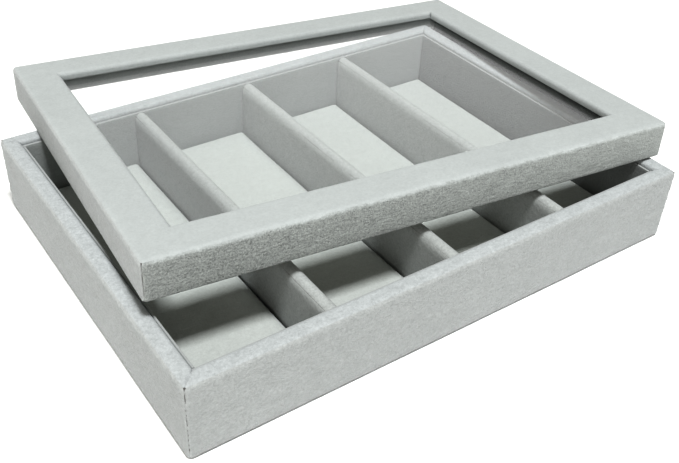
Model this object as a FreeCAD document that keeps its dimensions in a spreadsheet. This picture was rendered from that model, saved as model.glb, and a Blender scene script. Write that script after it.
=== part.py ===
import FreeCAD, Part
import os
import math

# Flat tray with padded compartments and a loose windowed lid laid askew on its rim.
# Millimetres. Origin: centre of the tray's underside. +X along the long front, +Y to the back, +Z up.

os.makedirs("parts", exist_ok=True)
doc = FreeCAD.newDocument("tray_organizer")

# ---------------------------------------------------------------- driving dimensions
sheet = doc.addObject("Spreadsheet::Sheet", "dims")
DIMS = [
    ("tray_len", 320.0),      # outer length, left to right
    ("tray_wid", 234.0),      # outer width, front to back
    ("tray_hgt", 46.0),       # outer height to the rim
    ("wall_thk", 9.5),        # wrapped wall
    ("skin", 1.0),            # velvet over board
    ("sheet_thk", 1.0),       # lining sheet under the tray
    ("sheet_inset", 1.0),
    ("base_thk", 3.0),
    ("lining_thk", 2.0),
    ("lining_top", 43.5),     # top of linings and dividers above the table
    ("div_thk", 8.5),
    ("div_skin_top", 2.0),
    ("div_round", 3.6),
    ("pad_thk", 8.0),
    ("pad_gap", 0.4),
    ("pad_round", 2.5),
    ("edge_round", 2.0),
    ("edge_round_in", 1.2),
    ("lid_hgt", 22.0),
    ("rail_wid", 23.5),       # visible frame around the window
    ("skirt_thk", 5.0),
    ("rail_thk", 5.0),        # wrapped frame board
    ("pane_thk", 2.0),
    ("pane_gap", 1.0),        # pane edge to skirt
    ("stop_wid", 10.5),
    ("stop_thk", 1.6),
]
for row, (name, value) in enumerate(DIMS, start=1):
    sheet.set("A%d" % row, name)
    sheet.set("B%d" % row, str(value))
    sheet.setAlias("B%d" % row, name)
doc.recompute()

V = {name: value for name, value in DIMS}
NODES = []


def bind(obj, **expressions):
    for prop, expression in expressions.items():
        obj.setExpression(prop, expression)
    return obj


def place(obj, x=0.0, y=0.0, z=0.0, turn=0.0):
    obj.Placement = FreeCAD.Placement(
        FreeCAD.Vector(x, y, z),
        FreeCAD.Rotation(FreeCAD.Vector(0, 0, 1), turn),
    )
    return obj


def box(name, x, y, z, px, py, pz):
    """A box whose sizes and corner are expressions of the sheet."""
    o = doc.addObject("Part::Box", name)
    bind(o, Length=x, Width=y, Height=z)
    bind(o, **{".Placement.Base.x": px, ".Placement.Base.y": py, ".Placement.Base.z": pz})
    return o


def mitre(name, length, width, y0, y1, z0, z1):
    """A straight strip along X with ends cut at 45 degrees, seen from above.

    length and width are the outside of the rectangle the strip belongs to; the strip
    runs from y0 to y1 inward of its front side, and from z0 to z1."""
    o = doc.addObject("Part::Wedge", name)
    half = "(%s) / 2" % length
    bind(
        o,
        Xmin="-(%s) + (%s)" % (half, y0),
        Xmax="%s - (%s)" % (half, y0),
        X2min="-(%s) + (%s)" % (half, y1),
        X2max="%s - (%s)" % (half, y1),
        Ymin="-(%s) / 2 + (%s)" % (width, y0),
        Ymax="-(%s) / 2 + (%s)" % (width, y1),
        Zmin=z0,
        Z2min=z0,
        Zmax=z1,
        Z2max=z1,
    )
    return o


def cut(name, base, tool):
    o = doc.addObject("Part::Cut", name)
    o.Base = base
    o.Tool = tool
    return o


def fuse(name, a, b):
    o = doc.addObject("Part::Fuse", name)
    o.Base = a
    o.Tool = b
    o.Refine = True
    return o


def fillet(name, base, picks):
    """Round the edges whose middle is near one of the given points: (point, radius)."""
    doc.recompute()
    found = []
    for i, edge in enumerate(base.Shape.Edges, start=1):
        mid = edge.CenterOfMass
        for (px, py, pz), radius in picks:
            if px is not None and abs(mid.x - px) > 0.05:
                continue
            if abs(mid.y - py) > 0.05 or abs(mid.z - pz) > 0.05:
                continue
            found.append((i, radius, radius))
            break
    if len(found) != len(picks):
        raise RuntimeError("%s: %d edges found for %d" % (name, len(found), len(picks)))
    o = doc.addObject("Part::Fillet", name)
    o.Base = base
    o.Edges = found
    return o


def node(obj, label):
    obj.Label = label
    NODES.append((label, obj))
    return obj


SIDES = (
    # name, length and width of the rectangle seen from that side, turn about Z
    ("front", "len", "wid", 0.0),
    ("right", "wid", "len", 90.0),
    ("back", "len", "wid", 180.0),
    ("left", "wid", "len", 270.0),
)

# ---------------------------------------------------------------- tray: bottom
node(
    box(
        "BottomSheet",
        "dims.tray_len - 2 * dims.sheet_inset",
        "dims.tray_wid - 2 * dims.sheet_inset",
        "dims.sheet_thk",
        "-dims.tray_len / 2 + dims.sheet_inset",
        "-dims.tray_wid / 2 + dims.sheet_inset",
        "0",
    ),
    "bottom_sheet",
)
node(
    box(
        "BaseBoard",
        "dims.tray_len - 2 * dims.wall_thk",
        "dims.tray_wid - 2 * dims.wall_thk",
        "dims.base_thk",
        "-dims.tray_len / 2 + dims.wall_thk",
        "-dims.tray_wid / 2 + dims.wall_thk",
        "dims.sheet_thk",
    ),
    "base_board",
)

# ---------------------------------------------------------------- tray: walls
for side, a, b, turn in SIDES:
    L = "dims.tray_" + a
    W = "dims.tray_" + b
    core_z1 = "dims.tray_hgt - dims.skin"
    core = mitre("Core_" + side, L, W, "dims.skin", "dims.wall_thk - dims.skin",
                 "dims.sheet_thk", core_z1)
    place(core, turn=turn)
    node(core, side + "_wall_board")
    outer = mitre("Wrap_" + side, L, W, "0", "dims.wall_thk", "dims.sheet_thk", "dims.tray_hgt")
    hollow = mitre("Hollow_" + side, L, W, "dims.skin", "dims.wall_thk - dims.skin",
                   "dims.sheet_thk", core_z1)
    shell = cut("Shell_" + side, outer, hollow)
    wid = V["tray_" + b]
    skin = fillet(
        "Cover_" + side,
        shell,
        [
            ((0.0, -wid / 2, V["tray_hgt"]), V["edge_round"]),
            ((0.0, -wid / 2 + V["wall_thk"], V["tray_hgt"]), V["edge_round_in"]),
        ],
    )
    place(skin, turn=turn)
    node(skin, side + "_wall_cover")

# ---------------------------------------------------------------- tray: lining panels
INX = "(dims.tray_len / 2 - dims.wall_thk)"
INY = "(dims.tray_wid / 2 - dims.wall_thk)"
FLOOR = "(dims.sheet_thk + dims.base_thk)"
LINH = "dims.lining_top - dims.sheet_thk - dims.base_thk"
node(box("LiningFront", "2 * " + INX, "dims.lining_thk", LINH, "-" + INX, "-" + INY, FLOOR),
     "front_lining")
node(box("LiningBack", "2 * " + INX, "dims.lining_thk", LINH, "-" + INX,
         INY + " - dims.lining_thk", FLOOR), "back_lining")
LW = "2 * " + INY + " - 2 * dims.lining_thk"
node(box("LiningLeft", "dims.lining_thk", LW, LINH, "-" + INX,
         "-" + INY + " + dims.lining_thk", FLOOR), "left_lining")
node(box("LiningRight", "dims.lining_thk", LW, LINH, INX + " - dims.lining_thk",
         "-" + INY + " + dims.lining_thk", FLOOR), "right_lining")

# ---------------------------------------------------------------- tray: dividers and floor pads
CELLX = "((2 * %s - 2 * dims.lining_thk - 3 * dims.div_thk) / 4)" % INX
X0 = "(-%s + dims.lining_thk)" % INX
Y0 = "(-%s + dims.lining_thk)" % INY
cell = (V["tray_len"] - 2 * V["wall_thk"] - 2 * V["lining_thk"] - 3 * V["div_thk"]) / 4
x0 = -V["tray_len"] / 2 + V["wall_thk"] + V["lining_thk"]
for i in (1, 2, 3):
    left = "%s + %d * %s + %d * dims.div_thk" % (X0, i, CELLX, i - 1)
    body = box("DivBlock%d" % i, "dims.div_thk", LW, LINH, left, Y0, FLOOR)
    hollow = box(
        "DivHollow%d" % i,
        "dims.div_thk - 2 * dims.skin",
        LW,
        LINH + " - dims.div_skin_top",
        left + " + dims.skin",
        Y0,
        FLOOR,
    )
    shell = cut("DivShell%d" % i, body, hollow)
    xl = x0 + i * cell + (i - 1) * V["div_thk"]
    skin = fillet(
        "DivCover%d" % i,
        shell,
        [
            ((xl, 0.0, V["lining_top"]), V["div_round"]),
            ((xl + V["div_thk"], 0.0, V["lining_top"]), V["div_round"]),
        ],
    )
    node(skin, "divider_%d_cover" % i)
    node(
        box(
            "DivBoard%d" % i,
            "dims.div_thk - 2 * dims.skin",
            LW,
            LINH + " - dims.div_skin_top",
            left + " + dims.skin",
            Y0,
            FLOOR,
        ),
        "divider_%d_board" % i,
    )
for i in (1, 2, 3, 4):
    left = "%s + %d * %s + %d * dims.div_thk + dims.pad_gap" % (X0, i - 1, CELLX, i - 1)
    pad = box(
        "PadBlock%d" % i,
        CELLX + " - 2 * dims.pad_gap",
        LW + " - 2 * dims.pad_gap",
        "dims.pad_thk",
        left,
        Y0 + " + dims.pad_gap",
        FLOOR,
    )
    xa = x0 + (i - 1) * (cell + V["div_thk"]) + V["pad_gap"]
    xb = xa + cell - 2 * V["pad_gap"]
    ya = V["tray_wid"] / 2 - V["wall_thk"] - V["lining_thk"] - V["pad_gap"]
    top = V["sheet_thk"] + V["base_thk"] + V["pad_thk"]
    node(
        fillet(
            "Pad%d" % i,
            pad,
            [
                ((xa, 0.0, top), V["pad_round"]),
                ((xb, 0.0, top), V["pad_round"]),
                (((xa + xb) / 2, -ya, top), V["pad_round"]),
                (((xa + xb) / 2, ya, top), V["pad_round"]),
            ],
        ),
        "floor_pad_%d" % i,
    )

# ---------------------------------------------------------------- lid, in its own square frame
# The lid's own origin is the centre of its underside. LID puts it where it lies: turned a
# little, tipped towards the back right corner, and resting on two of the tray's rims.
LID = {
    "corner": (4.618 - 160.0, 45.9085 - 117.0, 57.0162 - 0.08),
    "turn": (-0.0543, 0.0329, -0.0917),
}
rx, ry, rz = LID["turn"]
angle = math.sqrt(rx * rx + ry * ry + rz * rz)
lid_rot = FreeCAD.Rotation(FreeCAD.Vector(rx, ry, rz), math.degrees(angle))
lid_base = FreeCAD.Vector(*LID["corner"]).add(
    lid_rot.multVec(FreeCAD.Vector(V["tray_len"] / 2, V["tray_wid"] / 2, 0.0))
)


def lid_place(obj, turn=0.0, local=None):
    own = local if local is not None else FreeCAD.Placement(
        FreeCAD.Vector(0, 0, 0), FreeCAD.Rotation(FreeCAD.Vector(0, 0, 1), turn)
    )
    obj.Placement = FreeCAD.Placement(lid_base, lid_rot).multiply(own)
    return obj


def lid_box(name, x, y, z, cx, cy, cz):
    """A box centred on (cx, cy) and standing on cz of the lid's own frame."""
    o = doc.addObject("Part::Box", name)
    bind(o, Length=x, Width=y, Height=z)
    doc.recompute()
    local = FreeCAD.Placement(
        FreeCAD.Vector(cx - o.Length.Value / 2, cy - o.Width.Value / 2, cz),
        FreeCAD.Rotation(),
    )
    return lid_place(o, local=local)


for side, a, b, turn in SIDES:
    L = "dims.tray_" + a
    W = "dims.tray_" + b
    under = "dims.lid_hgt - dims.rail_thk + dims.skin"
    skirt = mitre("Skirt_" + side, L, W, "dims.skin", "dims.skirt_thk - dims.skin",
                  "dims.skin", under)
    node(lid_place(skirt, turn), "lid_%s_skirt_board" % side)
    rail = mitre("Rail_" + side, L, W, "dims.skin", "dims.rail_wid - dims.skin", under,
                 "dims.lid_hgt - dims.skin")
    node(lid_place(rail, turn), "lid_%s_rail_board" % side)
    s0 = mitre("LidWrapA_" + side, L, W, "0", "dims.skirt_thk", "0", "dims.lid_hgt")
    s1 = mitre("LidWrapB_" + side, L, W, "0", "dims.rail_wid", "dims.lid_hgt - dims.rail_thk",
               "dims.lid_hgt")
    h0 = mitre("LidHollowA_" + side, L, W, "dims.skin", "dims.skirt_thk - dims.skin",
               "dims.skin", under)
    h1 = mitre("LidHollowB_" + side, L, W, "dims.skin", "dims.rail_wid - dims.skin", under,
               "dims.lid_hgt - dims.skin")
    shell = cut("LidShell_" + side, fuse("LidWrap_" + side, s0, s1),
                fuse("LidHollow_" + side, h0, h1))
    wid = V["tray_" + b]
    skin = fillet(
        "LidCover_" + side,
        shell,
        [
            ((0.0, -wid / 2, V["lid_hgt"]), V["edge_round"]),
            ((0.0, -wid / 2 + V["rail_wid"], V["lid_hgt"]), V["edge_round_in"]),
        ],
    )
    node(lid_place(skin, turn), "lid_%s_cover" % side)

pane_z = V["lid_hgt"] - V["rail_thk"] - V["pane_thk"]
node(
    lid_box(
        "Pane",
        "dims.tray_len - 2 * dims.skirt_thk - 2 * dims.pane_gap",
        "dims.tray_wid - 2 * dims.skirt_thk - 2 * dims.pane_gap",
        "dims.pane_thk",
        0.0,
        0.0,
        pane_z,
    ),
    "window_pane",
)
stop_z = pane_z - V["stop_thk"]
stop_x = V["tray_len"] / 2 - V["skirt_thk"] - V["stop_wid"] / 2
stop_y = V["tray_wid"] / 2 - V["skirt_thk"] - V["stop_wid"] / 2
for side, sgn in (("front", -1), ("back", 1)):
    node(
        lid_box("Stop_" + side, "dims.tray_len - 2 * dims.skirt_thk", "dims.stop_wid",
                "dims.stop_thk", 0.0, sgn * stop_y, stop_z),
        "pane_stop_" + side,
    )
for side, sgn in (("left", -1), ("right", 1)):
    node(
        lid_box("Stop_" + side, "dims.stop_wid",
                "dims.tray_wid - 2 * dims.skirt_thk - 2 * dims.stop_wid",
                "dims.stop_thk", sgn * stop_x, 0.0, stop_z),
        "pane_stop_" + side,
    )

# ---------------------------------------------------------------- check and write
doc.recompute()
for obj in doc.Objects:
    state = " ".join(obj.State)
    if "Invalid" in state or "Error" in state:
        raise RuntimeError("%s: %s" % (obj.Label, state))
names = [label for label, _ in NODES]
if len(names) != len(set(names)):
    raise RuntimeError("two nodes share a name")
for label, obj in NODES:
    shape = obj.Shape
    if shape.isNull() or not shape.isValid() or not shape.Solids:
        raise RuntimeError("%s: no valid solid" % label)
    if len(shape.Solids) != 1:
        raise RuntimeError("%s: %d solids" % (label, len(shape.Solids)))
    shape.exportStep("parts/%s.step" % label)
print("%d nodes" % len(NODES))
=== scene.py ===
import math

import bmesh
import bpy
from mathutils import Matrix, Vector, noise


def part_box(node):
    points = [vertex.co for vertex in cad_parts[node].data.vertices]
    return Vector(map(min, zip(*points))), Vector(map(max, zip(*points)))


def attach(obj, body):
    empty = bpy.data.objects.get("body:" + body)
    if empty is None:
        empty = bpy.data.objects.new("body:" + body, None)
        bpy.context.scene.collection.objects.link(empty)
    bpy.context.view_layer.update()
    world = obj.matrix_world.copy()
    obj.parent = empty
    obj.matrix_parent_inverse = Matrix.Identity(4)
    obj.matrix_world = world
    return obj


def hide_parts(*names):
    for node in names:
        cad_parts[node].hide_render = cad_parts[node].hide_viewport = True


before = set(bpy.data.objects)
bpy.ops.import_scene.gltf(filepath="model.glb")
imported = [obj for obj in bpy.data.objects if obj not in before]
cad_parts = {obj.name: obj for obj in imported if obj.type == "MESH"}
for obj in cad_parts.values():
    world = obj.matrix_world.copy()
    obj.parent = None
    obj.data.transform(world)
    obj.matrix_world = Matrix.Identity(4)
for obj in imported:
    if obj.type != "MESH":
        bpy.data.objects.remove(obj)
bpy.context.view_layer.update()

MM = 0.001


# ------------------------------------------------------------------ sizes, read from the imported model
def size_of(node):
    lo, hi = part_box(node)
    return [(b - a) / MM for a, b in zip(lo, hi)], [a / MM for a in lo], [b / MM for b in hi]


_, front_lo, front_hi = size_of("front_wall_cover")
_, left_lo, left_hi = size_of("left_wall_cover")
LEN = front_hi[0] - front_lo[0]
WID = left_hi[1] - left_lo[1]
RIM = front_hi[2]
FOOT = front_lo[2]
WALL = front_hi[1] - front_lo[1]
_, lin_lo, lin_hi = size_of("front_lining")
LIN_TOP = lin_hi[2]
LIN_BOT = lin_lo[2]
LIN_THK = lin_hi[1] - lin_lo[1]
LID_H, RAIL, SKIRT, RAIL_T = 22.0, 23.5, 5.0, 5.0

# where the lid lies: its corner and turn, as given numbers
LID_CORNER = Vector((4.618 - 160.0, 45.9085 - 117.0, 57.0162 - 0.08))
_turn = Vector((-0.0543, 0.0329, -0.0917))
LID_ROT = Matrix.Rotation(_turn.length, 3, _turn.normalized())
LID_BASE = LID_CORNER + LID_ROT @ Vector((LEN / 2, WID / 2, 0.0))


def tray_place(v):
    return v


def lid_place(v):
    return LID_ROT @ v + LID_BASE


# ------------------------------------------------------------------ materials
def new_material(name):
    m = bpy.data.materials.new(name)
    m.use_nodes = True
    nt = m.node_tree
    for n in list(nt.nodes):
        nt.nodes.remove(n)
    out = nt.nodes.new("ShaderNodeOutputMaterial")
    bsdf = nt.nodes.new("ShaderNodeBsdfPrincipled")
    nt.links.new(bsdf.outputs[0], out.inputs[0])
    return m, nt, bsdf, out


def noise_node(nt, coord, scale, detail=2.0, rough=0.5, distortion=0.0):
    n = nt.nodes.new("ShaderNodeTexNoise")
    n.inputs["Scale"].default_value = scale
    n.inputs["Detail"].default_value = detail
    n.inputs["Roughness"].default_value = rough
    n.inputs["Distortion"].default_value = distortion
    nt.links.new(coord, n.inputs["Vector"])
    return n.outputs["Fac"]


def math_node(nt, op, a, b):
    n = nt.nodes.new("ShaderNodeMath")
    n.operation = op
    for i, v in enumerate((a, b)):
        if isinstance(v, (int, float)):
            n.inputs[i].default_value = v
        else:
            nt.links.new(v, n.inputs[i])
    return n.outputs[0]


def velvet(name, colour, grain=0.10, grain_size=1.2, mottle=0.03, cloud=0.02, stroke=0.03,
           bump=0.35, depth=0.0008, sheen=0.25, fade=None, worm=0.8, into=None, shade=None, crease=0.0):
    """Short-pile velvet: pile grain, small mottling where the pile leans, brush strokes across
    it, and a slow change of nap. fade=(x0, amount at x0, x1, amount at x1) changes the grain
    along X."""
    m, nt, bsdf, _ = new_material(name)
    tc = nt.nodes.new("ShaderNodeTexCoord").outputs["Object"]
    fine = noise_node(nt, tc, 1000.0 / grain_size, 2.0, 0.65, worm)
    mid = noise_node(nt, tc, 210.0, 3.0, 0.6, 0.6)
    slow = noise_node(nt, tc, 20.0, 2.0, 0.5)
    lay = nt.nodes.new("ShaderNodeMapping")
    lay.inputs["Rotation"].default_value = (0.5, 0.6, 0.35)
    lay.inputs["Scale"].default_value = (0.22, 0.6, 1.0)
    nt.links.new(tc, lay.inputs["Vector"])
    brush = noise_node(nt, lay.outputs[0], 330.0, 3.0, 0.6, 1.4)
    k = 1.0
    if fade:
        sep = nt.nodes.new("ShaderNodeSeparateXYZ")
        nt.links.new(tc, sep.inputs[0])
        r = nt.nodes.new("ShaderNodeMapRange")
        for key, v in zip(("From Min", "To Min", "From Max", "To Max"), fade):
            r.inputs[key].default_value = v
        nt.links.new(sep.outputs[0], r.inputs["Value"])
        k = r.outputs[0]
    lift = None
    if into:  # (axis, height where it starts, height where it ends, the colour there)
        axis, h0, h1, other = into
        dot = nt.nodes.new("ShaderNodeVectorMath")
        dot.operation = "DOT_PRODUCT"
        nt.links.new(tc, dot.inputs[0])
        dot.inputs[1].default_value = axis
        r = nt.nodes.new("ShaderNodeMapRange")
        r.interpolation_type = "SMOOTHSTEP"
        r.inputs["From Min"].default_value = h0
        r.inputs["From Max"].default_value = h1
        wob = math_node(nt, "MULTIPLY", math_node(nt, "SUBTRACT", mid, 0.5), 0.004)
        nt.links.new(math_node(nt, "ADD", dot.outputs["Value"], wob), r.inputs["Value"])
        lift = r.outputs[0]
        k = math_node(nt, "MULTIPLY", k, math_node(nt, "SUBTRACT", 1.0,
                                                   math_node(nt, "MULTIPLY", lift, 0.8)))
    total = None
    for fac, amount, faded in ((fine, grain, True), (mid, mottle, False), (slow, cloud, False),
                               (brush, stroke, False)):
        centred = math_node(nt, "SUBTRACT", fac, 0.5)
        term = math_node(nt, "MULTIPLY", centred, amount * 4.0)
        if faded and (fade or into):
            term = math_node(nt, "MULTIPLY", term, k)
        total = term if total is None else math_node(nt, "ADD", total, term)
    gain = math_node(nt, "MAXIMUM", math_node(nt, "ADD", total, 1.0), 0.15)
    if shade:  # colour made brighter along X, by shade=(x0, gain at x0, x1, gain at x1)
        r = nt.nodes.new("ShaderNodeMapRange")
        for key, v in zip(("From Min", "To Min", "From Max", "To Max"), shade):
            r.inputs[key].default_value = v
        nt.links.new(sep.outputs[0], r.inputs["Value"])
        gain = math_node(nt, "MULTIPLY", gain, r.outputs[0])
    base = nt.nodes.new("ShaderNodeRGB")
    base.outputs[0].default_value = (*colour, 1.0)
    scale = nt.nodes.new("ShaderNodeVectorMath")
    scale.operation = "SCALE"
    hue = base.outputs[0]
    if into:
        mix = nt.nodes.new("ShaderNodeMix")
        mix.data_type = "RGBA"
        nt.links.new(lift, mix.inputs["Factor"])
        nt.links.new(hue, mix.inputs[6])
        mix.inputs[7].default_value = (*other, 1.0)
        hue = mix.outputs[2]
    nt.links.new(hue, scale.inputs[0])
    nt.links.new(gain, scale.inputs["Scale"])
    nt.links.new(scale.outputs[0], bsdf.inputs["Base Color"])
    b = nt.nodes.new("ShaderNodeBump")
    b.inputs["Strength"].default_value = bump
    b.inputs["Distance"].default_value = depth
    height = math_node(nt, "ADD", math_node(nt, "MULTIPLY", fine, 0.5),
                       math_node(nt, "MULTIPLY", mid, 0.6))
    height = math_node(nt, "ADD", height, math_node(nt, "MULTIPLY", brush, 0.9))
    if crease:  # faint crumples where the cloth was drawn over the board
        wob = noise_node(nt, tc, 130.0, 3.0, 0.55, 2.2)
        ridge = math_node(nt, "ABSOLUTE", math_node(nt, "SUBTRACT", wob, 0.5), 0.0)
        ridge = math_node(nt, "MINIMUM", ridge, 0.05)
        height = math_node(nt, "ADD", height, math_node(nt, "MULTIPLY", ridge, 9.0 * crease))
    nt.links.new(height, b.inputs["Height"])
    nt.links.new(b.outputs[0], bsdf.inputs["Normal"])
    bsdf.inputs["Roughness"].default_value = 0.95
    bsdf.inputs["Specular IOR Level"].default_value = 0.12
    bsdf.inputs["Sheen Weight"].default_value = sheen
    bsdf.inputs["Sheen Roughness"].default_value = 0.55
    bsdf.inputs["Sheen Tint"].default_value = (0.94, 0.96, 1.0, 1.0)
    return m


def board(name, colour):
    m, nt, bsdf, _ = new_material(name)
    tc = nt.nodes.new("ShaderNodeTexCoord").outputs["Object"]
    fleck = noise_node(nt, tc, 700.0, 4.0, 0.7)
    ramp = nt.nodes.new("ShaderNodeValToRGB")
    ramp.color_ramp.elements[0].position = 0.3
    ramp.color_ramp.elements[0].color = (*[c * 0.75 for c in colour], 1)
    ramp.color_ramp.elements[1].position = 0.7
    ramp.color_ramp.elements[1].color = (*[min(1, c * 1.12) for c in colour], 1)
    nt.links.new(fleck, ramp.inputs[0])
    nt.links.new(ramp.outputs[0], bsdf.inputs["Base Color"])
    b = nt.nodes.new("ShaderNodeBump")
    b.inputs["Strength"].default_value = 0.2
    b.inputs["Distance"].default_value = 0.0003
    nt.links.new(fleck, b.inputs["Height"])
    nt.links.new(b.outputs[0], bsdf.inputs["Normal"])
    bsdf.inputs["Roughness"].default_value = 0.9
    return m


def pane_material(name):
    m, nt, bsdf, out = new_material(name)
    bsdf.inputs["Base Color"].default_value = (0.985, 0.995, 0.99, 1)
    bsdf.inputs["IOR"].default_value = 1.47
    bsdf.inputs["Transmission Weight"].default_value = 1.0
    tc = nt.nodes.new("ShaderNodeTexCoord").outputs["Object"]
    smear = noise_node(nt, tc, 35.0, 3.0, 0.6)
    r = nt.nodes.new("ShaderNodeMapRange")
    r.inputs["To Min"].default_value = 0.0
    r.inputs["To Max"].default_value = 0.03
    nt.links.new(smear, r.inputs["Value"])
    nt.links.new(r.outputs[0], bsdf.inputs["Roughness"])
    clear = nt.nodes.new("ShaderNodeBsdfTransparent")
    clear.inputs[0].default_value = (0.985, 0.99, 0.99, 1)
    lp = nt.nodes.new("ShaderNodeLightPath")
    mix = nt.nodes.new("ShaderNodeMixShader")
    straight = math_node(nt, "MAXIMUM", lp.outputs["Is Shadow Ray"], lp.outputs["Is Diffuse Ray"])
    nt.links.new(straight, mix.inputs[0])
    nt.links.new(bsdf.outputs[0], mix.inputs[1])
    nt.links.new(clear.outputs[0], mix.inputs[2])
    nt.links.new(mix.outputs[0], out.inputs[0])
    return m


M_TRAY = velvet("velvet_tray", (0.392, 0.402, 0.401), grain=0.14, grain_size=1.3, mottle=0.035,
                stroke=0.04, bump=0.5, crease=1.0)
M_LID = velvet("velvet_lid", (0.415, 0.434, 0.434), grain=0.07, grain_size=1.2, mottle=0.035,
               cloud=0.03, stroke=0.015, bump=0.25, crease=0.25)
_up = LID_ROT @ Vector((0.0, 0.0, 1.0))
_top = _up.dot(LID_BASE + LID_ROT @ Vector((0.0, 0.0, LID_H))) * MM
M_LID_SIDE = velvet("velvet_lid_front", (0.305, 0.317, 0.309), grain=0.45, grain_size=0.9,
                    mottle=0.07, cloud=0.03, stroke=0.10, bump=0.7, sheen=0.2,
                    fade=(-0.06, 1.0, 0.15, 0.45), worm=0.5,
                    into=(_up, _top - 0.0035, _top + 0.0001, (0.415, 0.434, 0.434)), shade=(-0.15, 0.98, 0.16, 1.14))
M_RIM = velvet("velvet_rim", (0.405, 0.421, 0.428), grain=0.16, grain_size=1.2, mottle=0.07,
               stroke=0.07, bump=0.5)
M_LINING = velvet("velvet_lining", (0.335, 0.348, 0.345), grain=0.10, mottle=0.03)
# painted shade: the right wall's lining is a darker copy of the lining velvet, to darken that wall as if it stood in
# deeper shade
M_LINING_PAINTED_SHADE = velvet("velvet_lining_painted_shade", (0.215, 0.223, 0.221), grain=0.10, mottle=0.03)
# a lighter velvet for the lining's upward-facing top edge: painted highlight
M_EDGE_PAINTED_HIGHLIGHT = velvet("velvet_edge_painted_highlight", (0.36, 0.37, 0.37), grain=0.05, mottle=0.02)
M_DIV = velvet("velvet_divider", (0.385, 0.398, 0.392), grain=0.18, mottle=0.04, cloud=0.03)
M_PAD = velvet("velvet_pad", (0.480, 0.498, 0.484), grain=0.08, mottle=0.03, sheen=0.2)
# near-black velvet: painted shade for the dark gap under the lid's right side
M_INSIDE_PAINTED_SHADE = velvet("velvet_inside_lid_painted_shade", (0.055, 0.058, 0.056), grain=0.10, mottle=0.05, sheen=0.02)
M_BOARD = board("greyboard", (0.165, 0.162, 0.155))
M_SHEET = velvet("bottom_nonwoven", (0.40, 0.41, 0.42), grain=0.16, grain_size=0.9, mottle=0.05,
                 sheen=0.05)
M_PANE = pane_material("clear_pane")


# ------------------------------------------------------------------ mesh helpers
def fbm(p, size, seed=0.0, octaves=3):
    """Smooth noise about -1..1 at a point in mm, with features about `size` mm across."""
    q = Vector((p[0] / size + seed, p[1] / size - seed * 1.7, p[2] / size + seed * 0.6))
    total, amp, norm = 0.0, 1.0, 0.0
    for _ in range(octaves):
        total += amp * noise.noise(q)
        norm += amp
        amp *= 0.5
        q = q * 2.03
    return total / norm


def build(name, verts, faces, materials, face_mats=None, smooth=True):
    me = bpy.data.meshes.new(name)
    me.from_pydata([tuple(v * MM) for v in verts], [], faces)
    for m in materials:
        me.materials.append(m)
    for i, p in enumerate(me.polygons):
        p.use_smooth = smooth and len(p.vertices) == 4
        if face_mats:
            p.material_index = face_mats[i]
    me.validate()
    me.update()
    ob = bpy.data.objects.new(name, me)
    bpy.context.scene.collection.objects.link(ob)
    return ob


def outline(points, step=1.6):
    """A closed outline with rounded corners. points: (a, z, radius, tag), the tag for the run
    that leaves the corner. Gives (a, z, normal a, normal z, tag) round the outline; the normal
    is to the left of the way round."""
    n = len(points)
    out = []
    corners = []
    for i in range(n):
        p0 = Vector(points[i - 1][:2])
        p1 = Vector(points[i][:2])
        p2 = Vector(points[(i + 1) % n][:2])
        r = points[i][2]
        d0 = (p1 - p0).normalized()
        d1 = (p2 - p1).normalized()
        turn = d0.x * d1.y - d0.y * d1.x
        ang = math.atan2(turn, d0.dot(d1))
        if r > 0 and abs(ang) > 0.05:
            t = r * math.tan(abs(ang) / 2)
            corners.append((p1 - d0 * t, p1 + d1 * t, r, ang, d0, d1))
        else:
            corners.append((p1.copy(), p1.copy(), 0.0, ang, d0, d1))
    for i in range(n):
        a, b, r, ang, d0, d1 = corners[i]
        tag0 = points[i - 1][3]
        tag1 = points[i][3]
        if r > 0:
            side = 1.0 if ang > 0 else -1.0
            c = a + Vector((-d0.y, d0.x)) * (r * side)
            k = max(3, int(math.ceil(abs(ang) * r / 0.45)))
            for j in range(k + 1):
                th = ang * j / k
                w = a - c
                q = c + Vector((w.x * math.cos(th) - w.y * math.sin(th),
                                w.x * math.sin(th) + w.y * math.cos(th)))
                nrm = Vector((-d0.y, d0.x))
                nrm = Vector((nrm.x * math.cos(th) - nrm.y * math.sin(th),
                              nrm.x * math.sin(th) + nrm.y * math.cos(th)))
                out.append((q.x, q.y, nrm.x, nrm.y, tag0 if j * 2 < k else tag1))
        else:
            nrm = (Vector((-d0.y, d0.x)) + Vector((-d1.y, d1.x))).normalized()
            out.append((a.x, a.y, nrm.x, nrm.y, tag1))
        nxt = corners[(i + 1) % n][0]
        length = (nxt - b).length
        k = int(length / step)
        nrm = Vector((-d1.y, d1.x))
        for j in range(1, k + 1):
            q = b + (nxt - b) * (j / (k + 1))
            out.append((q.x, q.y, nrm.x, nrm.y, tag1))
    return out


def stations(half, step=2.4, fine=0.35, reach=4.0):
    """Places along a run from 0 (the middle) to 1 (the end), closer together near the end."""
    xs = [0.0]
    x = 0.0
    while half - x > reach + step:
        x += step
        xs.append(x)
    k = max(3, int(round((half - reach - x) / step)))
    for j in range(1, k + 1):
        xs.append(x + (half - reach - x) * j / k)
    k = int(round(reach / fine))
    for j in range(1, k + 1):
        xs.append(half - reach + reach * j / k)
    return xs


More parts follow.
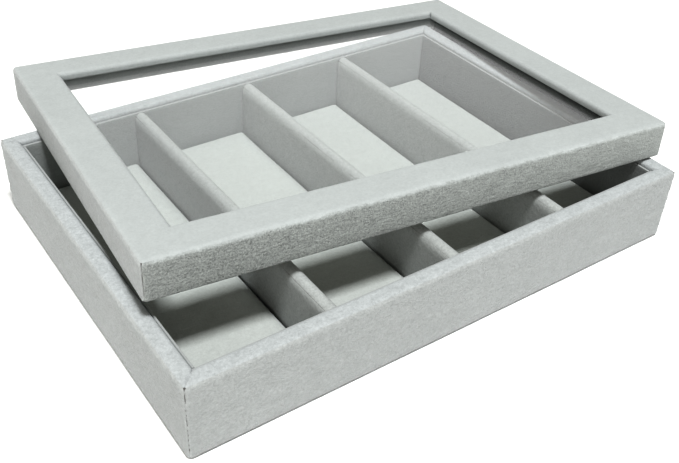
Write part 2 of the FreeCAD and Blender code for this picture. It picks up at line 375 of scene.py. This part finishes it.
def side_piece(name, long_, wide, prof, turn, place, materials, pick, R=2.4, groove=None,
               groove_w=0.55, swell=None, mitre=True, ease=0.0):
    """One side of a rectangle: the outline (distance in from the outside, height) run along X,
    its ends cut to meet its neighbours. groove(tag) is how deep, in mm, the seam at the end
    pulls the velvet in; swell(p, tag, e) moves a point along its normal, in mm."""
    half = long_ / 2
    xs = stations(half)
    signed = [-x for x in reversed(xs[1:])] + xs
    rot = Matrix.Rotation(math.radians(turn), 3, "Z")
    verts, faces, mats = [], [], []
    n = len(prof)
    for x in signed:
        sgn = 1.0 if x >= 0 else -1.0
        for d, z, nd, nz, tag in prof:
            e = half - abs(x)  # distance from the outer corner, before the mitre
            if mitre:
                room = half - d
                reach = max(R, d) + 4.0
                # keep the far stations, squeeze the near ones onto the mitre
                if e < reach:
                    e2 = d + (reach - d) * (e / reach)
                else:
                    e2 = e
                if d < R and e2 < R:
                    t = (R - e2) / (R - d)
                    phi = min(1.0, max(0.0, t)) * math.pi / 4
                    px = -half + R - (R - d) * math.sin(phi)
                    py = -wide / 2 + R - (R - d) * math.cos(phi)
                    nx, ny = -math.sin(phi) * -nd, -math.cos(phi) * -nd
                else:
                    px = -half + e2
                    py = -wide / 2 + d
                    nx, ny = 0.0, nd
                gap = e2 - d
            else:
                px = -abs(x) if abs(x) < half else -half
                py = -wide / 2 + d
                nx, ny = 0.0, nd
                gap = e
            px = px if sgn < 0 else -px
            nx = nx if sgn < 0 else -nx
            p = Vector((px, py, z))
            nrm = Vector((nx, ny, nz))
            move = 0.0
            world = rot @ p
            if swell:
                move += swell(world, tag, gap, d, z)
            if groove:
                g = groove(tag)
                if g:
                    # the seam opens and closes a little along its length
                    g *= 0.62 + 0.5 * max(-0.8, min(0.76, 1.6 * fbm(world, 3.4, 5.5, 1)))
                    move -= g * math.exp(-((gap / groove_w) ** 2))
            q = p + nrm * move
            verts.append(place(rot @ q))
    m = len(signed)
    for i in range(m - 1):
        for j in range(n):
            k = (j + 1) % n
            faces.append((i * n + j, i * n + k, (i + 1) * n + k, (i + 1) * n + j))
            mats.append(pick(prof[j][4]))
    faces.append(tuple(range(n - 1, -1, -1)))
    mats.append(0)
    faces.append(tuple((m - 1) * n + j for j in range(n)))
    mats.append(0)
    return build(name, verts, faces, materials, mats)


TURNS = (("front", 0.0, LEN, WID), ("right", 90.0, WID, LEN), ("back", 180.0, LEN, WID),
         ("left", 270.0, WID, LEN))

# ------------------------------------------------------------------ tray walls
wall_outline = outline([
    (1.0, FOOT, 0.0, "under"),
    (0.0, FOOT, 0.5, "out"),
    (0.0, RIM, 3.0, "top"),
    (WALL, RIM, 2.2, "in"),
    (WALL, FOOT + 6.0, 0.0, "under"),
    (WALL - 1.0, FOOT + 6.0, 0.0, "hid"),
    (WALL - 1.0, RIM - 1.0, 0.0, "hid"),
    (1.0, RIM - 1.0, 0.0, "hid"),
])


def ease(t):
    t = min(1.0, max(0.0, t))
    return t * t * (3 - 2 * t)


def tray_swell(p, tag, gap, d, z):
    if tag == "hid" or tag == "under":
        return 0.0
    # full on the outside and the rim, less on the inner face; none of the puckers near the top
    keep = 1.0 - 0.7 * ease((d - 3.0) / (WALL - 4.5))
    out = keep * (0.16 * fbm(p, 55.0, 3.1, 2) + 0.06 * fbm(p, 9.0, 7.7, 2))
    side_on = ease((RIM - 2.0 - z) / 5.0) * ease((z - FOOT) / 4.0) if d < 2.0 else 0.0
    if side_on:
        g = max(gap, 0.0)
        out += side_on * 0.16 * math.exp(-g / 7.0) * math.sin(z * 0.75 + 2.0 * fbm(p, 14.0, 1.3, 1))
        out += side_on * 0.22 * math.exp(-g / 2.2) * math.sin(z * 1.9 + 3.0 * fbm(p, 8.0, 2.3, 1))
    return out - 0.05


for side, turn, long_, wide in TURNS:
    ob = side_piece(
        side + "_wall_velvet", long_, wide, wall_outline, turn, tray_place, [M_TRAY, M_RIM],
        lambda tag: 1 if tag in ("top", "in") else 0, R=2.6,
        groove=lambda tag: {"out": 0.52, "top": 0.55, "in": 0.4}.get(tag, 0.0),
        groove_w=0.7,
        swell=tray_swell,
    )
    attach(ob, "tray")
    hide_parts(side + "_wall_cover")

# ------------------------------------------------------------------ lid covers
T = LID_H
U = LID_H - RAIL_T
lid_outline = outline([
    (10.0, U, 0.0, "under"),
    (SKIRT, U, 0.4, "skin_in"),
    (SKIRT, 0.0, 0.8, "foot"),
    (0.0, 0.0, 0.9, "out"),
    (0.0, T, 2.8, "top"),
    (RAIL, T, 2.6, "reveal"),
    (RAIL, U, 0.7, "under"),
    (10.5, U, 0.0, "hid"),
    (10.5, U + 1, 0.0, "hid"),
    (RAIL - 1, U + 1, 0.0, "hid"),
    (RAIL - 1, T - 1, 0.0, "hid"),
    (1.0, T - 1, 0.0, "hid"),
    (1.0, 1.0, 0.0, "hid"),
    (SKIRT - 1, 1.0, 0.0, "hid"),
    (SKIRT - 1, U + 1, 0.0, "hid"),
    (10.0, U + 1, 0.0, "hid"),
])


def lid_swell(p, tag, gap, d, z):
    if tag in ("hid", "under", "skin_in"):
        return 0.0
    out = 0.12 * fbm(p, 60.0, 13.1, 2) + 0.05 * fbm(p, 10.0, 4.7, 2)
    out += 0.06 * fbm(p, 4.0, 9.0, 2) * (ease((T - 2.5 - z) / 4.0) if d < 6.0 else 0.0)
    if tag == "foot" and p.x > LEN / 2 - SKIRT - 0.5:
        # the hem hangs a little lower where it is clear of the tray
        out += 2.8 * ease((p.y + WID / 2 - 25.0) / 8.0)
    return out - 0.04


for side, turn, long_, wide in TURNS:
    # on the right side the skirt's inner face and the rail's underside get near-black velvet as painted shade; the
    # other sides use the lining velvet
    mats = [M_LID, M_LID_SIDE if side == "front" else M_TRAY, M_INSIDE_PAINTED_SHADE if side == "right" else M_LINING]
    ob = side_piece(
        "lid_%s_velvet" % side, long_, wide, lid_outline, turn, lid_place, mats,
        lambda tag: {"out": 1, "foot": 1, "skin_in": 2, "under": 2, "hid": 2}.get(tag, 0), R=2.2,
        groove=lambda tag: {"out": 0.9, "reveal": 0.5, "foot": 0.4}.get(tag, 0.0),
        groove_w=0.7,
        swell=lid_swell,
    )
    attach(ob, "lid")
    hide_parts("lid_%s_cover" % side)

# ------------------------------------------------------------------ lining panels
lin_outline_prof = [
    (WALL, LIN_BOT, 0.0, "back"),
    (WALL, LIN_TOP - 1.6, 0.0, "back"),
    (WALL + 0.7, LIN_TOP, 0.4, "edge"),
    (WALL + LIN_THK, LIN_TOP, 0.6, "face"),
    (WALL + LIN_THK, LIN_BOT, 0.0, "under"),
]
lin_outline = outline(lin_outline_prof)


def lining_swell(p, tag, gap, d, z):
    if tag != "face":
        return 0.0
    return 0.10 * fbm(p, 30.0, 23.0, 2) - 0.10


for side, turn, long_, wide in TURNS:
    run = long_ - 2 * WALL if side in ("front", "back") else long_ - 2 * WALL - 2 * LIN_THK
    ob = side_piece(
        side + "_lining_panel", run, wide, lin_outline, turn, tray_place,
        # the right side takes the darker copy of the lining velvet: painted shade
        [M_LINING_PAINTED_SHADE if side == "right" else M_LINING, M_EDGE_PAINTED_HIGHLIGHT],
        # the top edge faces take the lighter velvet: painted highlight
        lambda tag: 1 if tag == "edge" else 0, swell=lining_swell, mitre=False,
    )
    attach(ob, "tray")
    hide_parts(side + "_lining")

# ------------------------------------------------------------------ dividers
for i in (1, 2, 3):
    _, lo, hi = size_of("divider_%d_cover" % i)
    w = hi[0] - lo[0]
    h = hi[2] - lo[2]
    ra, rb = w / 2 - 0.1, 6.5
    pts = [(-w / 2, (h - rb) * j / 14, -1.0, 0.0, "side") for j in range(14)]
    for j in range(21):
        th = math.pi * j / 20
        nrm = Vector((-math.cos(th) / ra, math.sin(th) / rb)).normalized()
        x = -ra * math.cos(th)
        x += -0.1 if j < 10 else (0.1 if j > 10 else 0.0)
        pts.append((x, h - rb + rb * math.sin(th) ** 0.8, nrm.x, nrm.y, "top"))
    pts += [(w / 2, (h - rb) * (14 - j) / 14, 1.0, 0.0, "side") for j in range(1, 15)]
    prof = pts + [(w / 2 - 1, 0.0, 0.0, 0.0, "hid"), (w / 2 - 1, h - 7.5, 0.0, 0.0, "hid"),
                  (0.0, h - 2.5, 0.0, 0.0, "hid"), (-w / 2 + 1, h - 7.5, 0.0, 0.0, "hid"),
                  (-w / 2 + 1, 0.0, 0.0, 0.0, "hid")]
    cx = (lo[0] + hi[0]) / 2
    cy = (lo[1] + hi[1]) / 2
    half = (hi[1] - lo[1]) / 2
    ys = stations(half, step=2.2, fine=0.5, reach=4.0)
    signed = [-y for y in reversed(ys[1:])] + ys
    verts, faces = [], []
    n = len(prof)
    for y in signed:
        for a, z, na, nz, tag in prof:
            p = Vector((cx + a, cy + y, lo[2] + z))
            move = 0.0
            if tag != "hid":
                move = 0.16 * fbm(p, 34.0, 31.0 + i, 2) + 0.05 * fbm(p, 7.0, 5.0 * i, 2) - 0.08
                move -= 0.25 * math.exp(-(half - abs(y)) / 1.2)
            verts.append(p + Vector((na, 0.0, nz)) * move)
    for s in range(len(signed) - 1):
        for j in range(n):
            k = (j + 1) % n
            faces.append((s * n + j, (s + 1) * n + j, (s + 1) * n + k, s * n + k))
    faces.append(tuple(range(n)))
    faces.append(tuple((len(signed) - 1) * n + j for j in range(n - 1, -1, -1)))
    ob = build("divider_%d_velvet" % i, verts, faces, [M_DIV])
    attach(ob, "tray")
    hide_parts("divider_%d_cover" % i)

# ------------------------------------------------------------------ floor pads
def puff(ob, pinned, frames=18, pressure=4.0, cap=1.2):
    """Fills the closed skin with a little air as cloth, then keeps the result as plain mesh."""
    scene = bpy.context.scene
    group = ob.vertex_groups.new(name="pin")
    group.add(pinned, 1.0, "REPLACE")
    md = ob.modifiers.new("filling", "CLOTH")
    st = md.settings
    st.quality = 6
    st.mass = 0.02
    st.tension_stiffness = 12.0
    st.compression_stiffness = 12.0
    st.shear_stiffness = 5.0
    st.bending_stiffness = 0.4
    st.vertex_group_mass = "pin"
    st.use_pressure = True
    st.uniform_pressure_force = pressure
    st.effector_weights.gravity = 0.0
    md.point_cache.frame_start = 1
    md.point_cache.frame_end = frames
    for f in range(1, frames + 1):
        scene.frame_set(f)
    ev = ob.evaluated_get(bpy.context.evaluated_depsgraph_get())
    moved = [v.co.copy() for v in ev.data.vertices]
    ob.modifiers.remove(md)
    ob.vertex_groups.remove(group)
    scene.frame_set(1)
    most = 0.0
    for v, co in zip(ob.data.vertices, moved):
        step = co - v.co
        if step.length > cap * MM:
            step = step.normalized() * cap * MM
        most = max(most, step.length)
        v.co = v.co + step
    print("filling", ob.name, "moved up to %.2f mm" % (most / MM))


def settle(ob, lo, hi, seed):
    """Soft dents in the top, and the whole pad kept inside its own space."""
    for v in ob.data.vertices:
        x, y, z = v.co / MM
        k = min(1.0, max(0.0, (z - lo[2] - 3.5) / 2.5))
        z += k * 0.22 * fbm(Vector((x, y, 0.0)), 24.0, seed, 3)
        v.co = Vector((min(max(x, lo[0] + 0.05), hi[0] - 0.05),
                       min(max(y, lo[1] + 0.05), hi[1] - 0.05),
                       min(max(z, lo[2]), hi[2] + 0.4))) * MM
    ob.data.update()


for i in (1, 2, 3, 4):
    _, lo, hi = size_of("floor_pad_%d" % i)
    cx, cy = (lo[0] + hi[0]) / 2, (lo[1] + hi[1]) / 2
    hx, hy = (hi[0] - lo[0]) / 2 - 0.25, (hi[1] - lo[1]) / 2 - 0.25
    thick = hi[2] - lo[2]
    nx_, ny_ = 24, 66

    def spread(k, count):
        t = -1 + 2 * k / count
        return math.sin(t * math.pi / 2) * 0.35 + t * 0.65

    verts, faces, pinned = [], [], []
    for top in (True, False):
        for a in range(nx_ + 1):
            for b in range(ny_ + 1):
                u, v = spread(a, nx_), spread(b, ny_)
                fx = min(1.0, hx * (1 - abs(u)) / 3.0)
                fy = min(1.0, hy * (1 - abs(v)) / 3.0)
                roll = math.sqrt(max(0.0, 1 - (1 - fx) ** 2)) * math.sqrt(max(0.0, 1 - (1 - fy) ** 2))
                if top:
                    crown = (1 - abs(u) ** 3) * (1 - abs(v) ** 8)
                    z = lo[2] + 2.6 + (thick - 3.9) * roll + 0.7 * crown
                else:
                    z = lo[2] + 2.6 - 2.6 * min(1.0, roll * 1.6)
                verts.append(Vector((cx + u * hx, cy + v * hy, z)))
    W1 = ny_ + 1
    off = (nx_ + 1) * W1
    for a in range(nx_):
        for b in range(ny_):
            p = a * W1 + b
            faces.append((p, p + W1, p + W1 + 1, p + 1))
            q = off + p
            faces.append((q, q + 1, q + W1 + 1, q + W1))
    ob = build("floor_pad_%d_cushion" % i, verts, faces, [M_PAD])
    bm = bmesh.new()
    bm.from_mesh(ob.data)
    bmesh.ops.remove_doubles(bm, verts=bm.verts, dist=0.00005)
    bmesh.ops.recalc_face_normals(bm, faces=bm.faces)
    bm.to_mesh(ob.data)
    bm.free()
    floor_z = (lo[2] + 2.65) * MM
    puff(ob, [v.index for v in ob.data.vertices if v.co.z < floor_z])
    sub = ob.modifiers.new("smooth", "SUBSURF")
    sub.levels = sub.render_levels = 1
    bpy.context.view_layer.update()
    whole = bpy.data.meshes.new_from_object(ob.evaluated_get(bpy.context.evaluated_depsgraph_get()))
    ob.modifiers.remove(sub)
    ob.data = whole
    for p in whole.polygons:
        p.use_smooth = True
    settle(ob, lo, hi, 41.0 + i)
    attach(ob, "tray")
    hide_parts("floor_pad_%d" % i)

# ------------------------------------------------------------------ bottom sheet
_, lo, hi = size_of("bottom_sheet")
verts, faces = [], []
nx_, ny_ = 80, 58
for top in (True, False):
    for a in range(nx_ + 1):
        for b in range(ny_ + 1):
            x = lo[0] + (hi[0] - lo[0]) * a / nx_
            y = lo[1] + (hi[1] - lo[1]) * b / ny_
            edge = min(x - lo[0], hi[0] - x, y - lo[1], hi[1] - y)
            if top:
                z = hi[2]
            else:
                z = lo[2] + 0.45 * math.exp(-edge / 1.0) + 0.10 * (1 + fbm(Vector((x, y, 0)), 22.0, 3.0, 2))
            verts.append(Vector((x, y, z)))
W1 = ny_ + 1
off = (nx_ + 1) * W1
for a in range(nx_):
    for b in range(ny_):
        p = a * W1 + b
        faces.append((p, p + W1, p + W1 + 1, p + 1))
        q = off + p
        faces.append((q, q + 1, q + W1 + 1, q + W1))
ring = [a * W1 for a in range(nx_ + 1)] + [nx_ * W1 + b for b in range(1, ny_ + 1)] + \
       [a * W1 + ny_ for a in range(nx_ - 1, -1, -1)] + [b for b in range(ny_ - 1, 0, -1)]
for k, p in enumerate(ring):
    q = ring[(k + 1) % len(ring)]
    faces.append((p, off + p, off + q, q))
ob = build("bottom_lining_sheet", verts, faces, [M_SHEET], smooth=False)
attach(ob, "tray")
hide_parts("bottom_sheet")

# ------------------------------------------------------------------ carried-over CAD nodes
for name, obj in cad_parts.items():
    if "board" in name or name.startswith("pane_stop"):
        obj.data.materials.clear()
        obj.data.materials.append(M_BOARD)
    elif name == "window_pane":
        obj.data.materials.clear()
        obj.data.materials.append(M_PANE)

# ------------------------------------------------------------------ floor, light, camera
bpy.ops.mesh.primitive_plane_add(size=12.0, location=(0, 0, -0.0003))
floor = bpy.context.object
floor.name = "floor"
fm, fnt, fb, _ = new_material("floor_pale")
fb.inputs["Base Color"].default_value = (0.96, 0.96, 0.96, 1)
fb.inputs["Roughness"].default_value = 0.8
floor.data.materials.append(fm)


def area(name, loc, target, size, power, colour=(1, 1, 1)):
    d = bpy.data.lights.new(name, "AREA")
    d.shape = "RECTANGLE"
    d.size, d.size_y = size
    d.energy = power
    d.color = colour
    o = bpy.data.objects.new(name, d)
    bpy.context.scene.collection.objects.link(o)
    o.location = loc
    o.rotation_euler = (Vector(target) - Vector(loc)).to_track_quat("-Z", "Y").to_euler()
    return o


LIGHT = {"key": 63.2, "front": 0.8, "left": 4.5, "world": 0.222, "veil": 0.548}
# the key is fairly small, so that the lid's rail throws a soft-edged shadow into the tray
if LIGHT["key"]:
    area("key", (-0.22, -0.82, 2.66), (0, 0, 0.04), (0.50, 0.50), LIGHT["key"], (0.985, 1.0, 1.0))
if LIGHT["front"]:
    area("softbox_front", (-0.25, -1.40, 0.55), (0, 0, 0.03), (1.4, 0.8), LIGHT["front"])
if LIGHT["left"]:
    area("softbox_left", (-1.40, -0.15, 0.55), (0, 0, 0.03), (1.2, 0.8), LIGHT["left"],
         (1.0, 0.985, 0.955))
world = bpy.data.worlds.new("studio")
bpy.context.scene.world = world
world.use_nodes = True
wnt = world.node_tree
back = wnt.nodes["Background"]
# brighter in mirror reflections, so that the window glass carries the pale veil of a studio ceiling
wlp = wnt.nodes.new("ShaderNodeLightPath")
veil = math_node(wnt, "MULTIPLY", wlp.outputs["Is Glossy Ray"], LIGHT["veil"])
wnt.links.new(math_node(wnt, "ADD", veil, LIGHT["world"]), back.inputs[1])
tone = wnt.nodes.new("ShaderNodeMix")
tone.data_type = "RGBA"
wnt.links.new(wlp.outputs["Is Glossy Ray"], tone.inputs[0])
tone.inputs[6].default_value = (1.0, 0.995, 0.89, 1)
tone.inputs[7].default_value = (1.0, 1.0, 1.0, 1)
wnt.links.new(tone.outputs[2], back.inputs[0])

cam = bpy.data.cameras.new("camera")
cam.sensor_width = 36.0
cam.lens = 47.767
cam.clip_start = 0.01
cam_ob = bpy.data.objects.new("camera", cam)
bpy.context.scene.collection.objects.link(cam_ob)
rot = Matrix(((0.8208729, 0.3157373, -0.4758966),
              (-0.5696229, 0.5127469, -0.6423553),
              (0.041199, 0.7983737, 0.6007512)))
cam_ob.matrix_world = Matrix.Translation(Vector((-0.263703, -0.360519, 0.325953))) @ rot.to_4x4()
bpy.context.scene.camera = cam_ob
bpy.context.scene.view_settings.view_transform = "Standard"
bpy.context.scene.view_settings.look = "High Contrast"

# ------------------------------------------------------------------ finish
bpy.context.view_layer.update()
